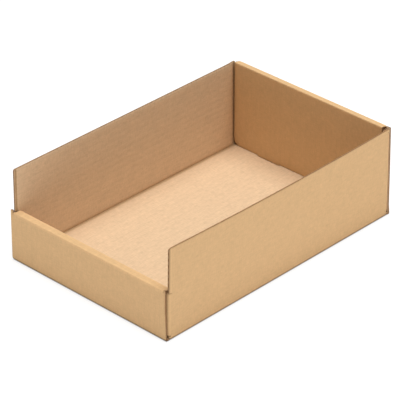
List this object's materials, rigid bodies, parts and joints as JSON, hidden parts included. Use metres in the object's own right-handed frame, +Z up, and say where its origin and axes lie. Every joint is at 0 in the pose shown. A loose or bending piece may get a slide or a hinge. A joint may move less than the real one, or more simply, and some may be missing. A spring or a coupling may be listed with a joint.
{
  "type": "shelf bin box",
  "caption": "Open shelf bin folded from corrugated cardboard, with plain side walls, rolled-over end walls and a low front for picking.",
  "frame": {"origin": "centre of the underside", "axes": "+Z up, +Y from the low front to the back wall, +X to the right as seen from the front"},
  "size_m": [0.198, 0.306, 0.095],
  "materials": {
    "kraft_board": "matte"
  },
  "bodies": {
    "root": {"folded_bin": "kraft_board"}
  },
  "joints": []
}
